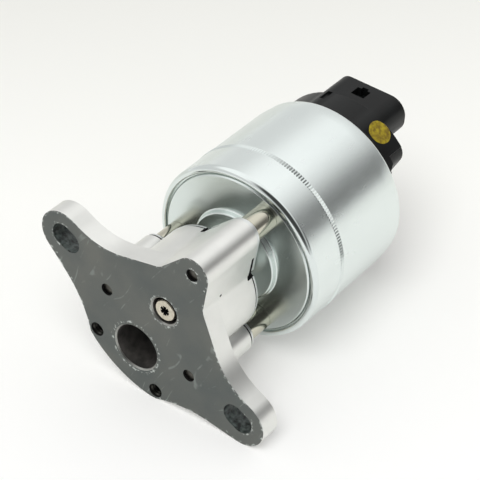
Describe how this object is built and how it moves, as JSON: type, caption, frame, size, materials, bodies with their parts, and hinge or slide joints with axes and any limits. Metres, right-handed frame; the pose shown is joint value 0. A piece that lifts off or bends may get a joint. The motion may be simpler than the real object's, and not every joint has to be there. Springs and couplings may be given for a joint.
{
  "type": "solenoid exhaust gas recirculation valve",
  "caption": "Linear solenoid gas valve: flanged port casting with slotted ears, standoff tubes, round coil can and a black cap with a keyed plug socket.",
  "frame": {"origin": "on the valve axis, in the plane of the mounting face, at the centre of the small gas inlet in which the valve tip shows", "axes": "+Z along the valve axis from the mounting face through the can to the plug socket; +X along the line of the two slots; +Y from the big gas port towards the front lobe"},
  "size_m": [0.097, 0.0687, 0.1079],
  "materials": {
    "cast_metal": "bare casting, satin grey, with a darker coated mounting face",
    "sooted_steel": "turned ring, dark from the gas",
    "turned_steel": "fine turned",
    "bush_bronze": "sintered bronze, satin",
    "plated_sheet": "bright plated sheet",
    "nickel_tube": "polished nickel plate",
    "screw_steel": "plated screw steel",
    "bright_pole": "bright zinc plate, nearly mirror smooth",
    "zinc_can": "bluish bright zinc plate over drawn steel",
    "bobbin_nylon": "natural nylon",
    "copper_wire": "enamelled copper wire",
    "spring_steel": "drawn wire",
    "cap_plastic": "black glass-filled plastic, slight sheen",
    "contact_brass": "tinned brass",
    "track_board": "ceramic board with a printed resistor track",
    "seal_rubber": "black rubber ring"
  },
  "bodies": {
    "housing": {"base_casting": "cast_metal", "valve_seat": "sooted_steel", "stem_bush": "bush_bronze", "stem_shield": "plated_sheet", "top_plate": "plated_sheet", "standoff_washers": "plated_sheet", "standoffs": "nickel_tube", "tie_screws": "screw_steel", "pole_plate": "bright_pole", "can_shell": "zinc_can", "guide_sleeve": "bush_bronze", "bobbin": "bobbin_nylon", "coil_winding": "copper_wire", "upper_pole": "bright_pole", "return_spring": "spring_steel", "coil_leads": "copper_wire", "plunger_spring": "spring_steel", "sensor_track": "track_board", "cap_seal": "seal_rubber", "connector_cap": "cap_plastic", "terminals": "contact_brass"},
    "valve": {"pintle": "turned_steel", "armature": "turned_steel", "armature_nut": "screw_steel", "gap_shim": "bush_bronze", "sensor_plunger": "cap_plastic", "wiper": "contact_brass"}
  },
  "joints": [
    {"name": "pintle_lift", "type": "slide", "parent": "housing", "child": "valve", "axis": [0, 0, 1], "range_m": [0, 0.004], "stiffness_N_per_m": 1500, "springref_m": -0.005, "deforming": ["return_spring", "plunger_spring"]}
  ]
}
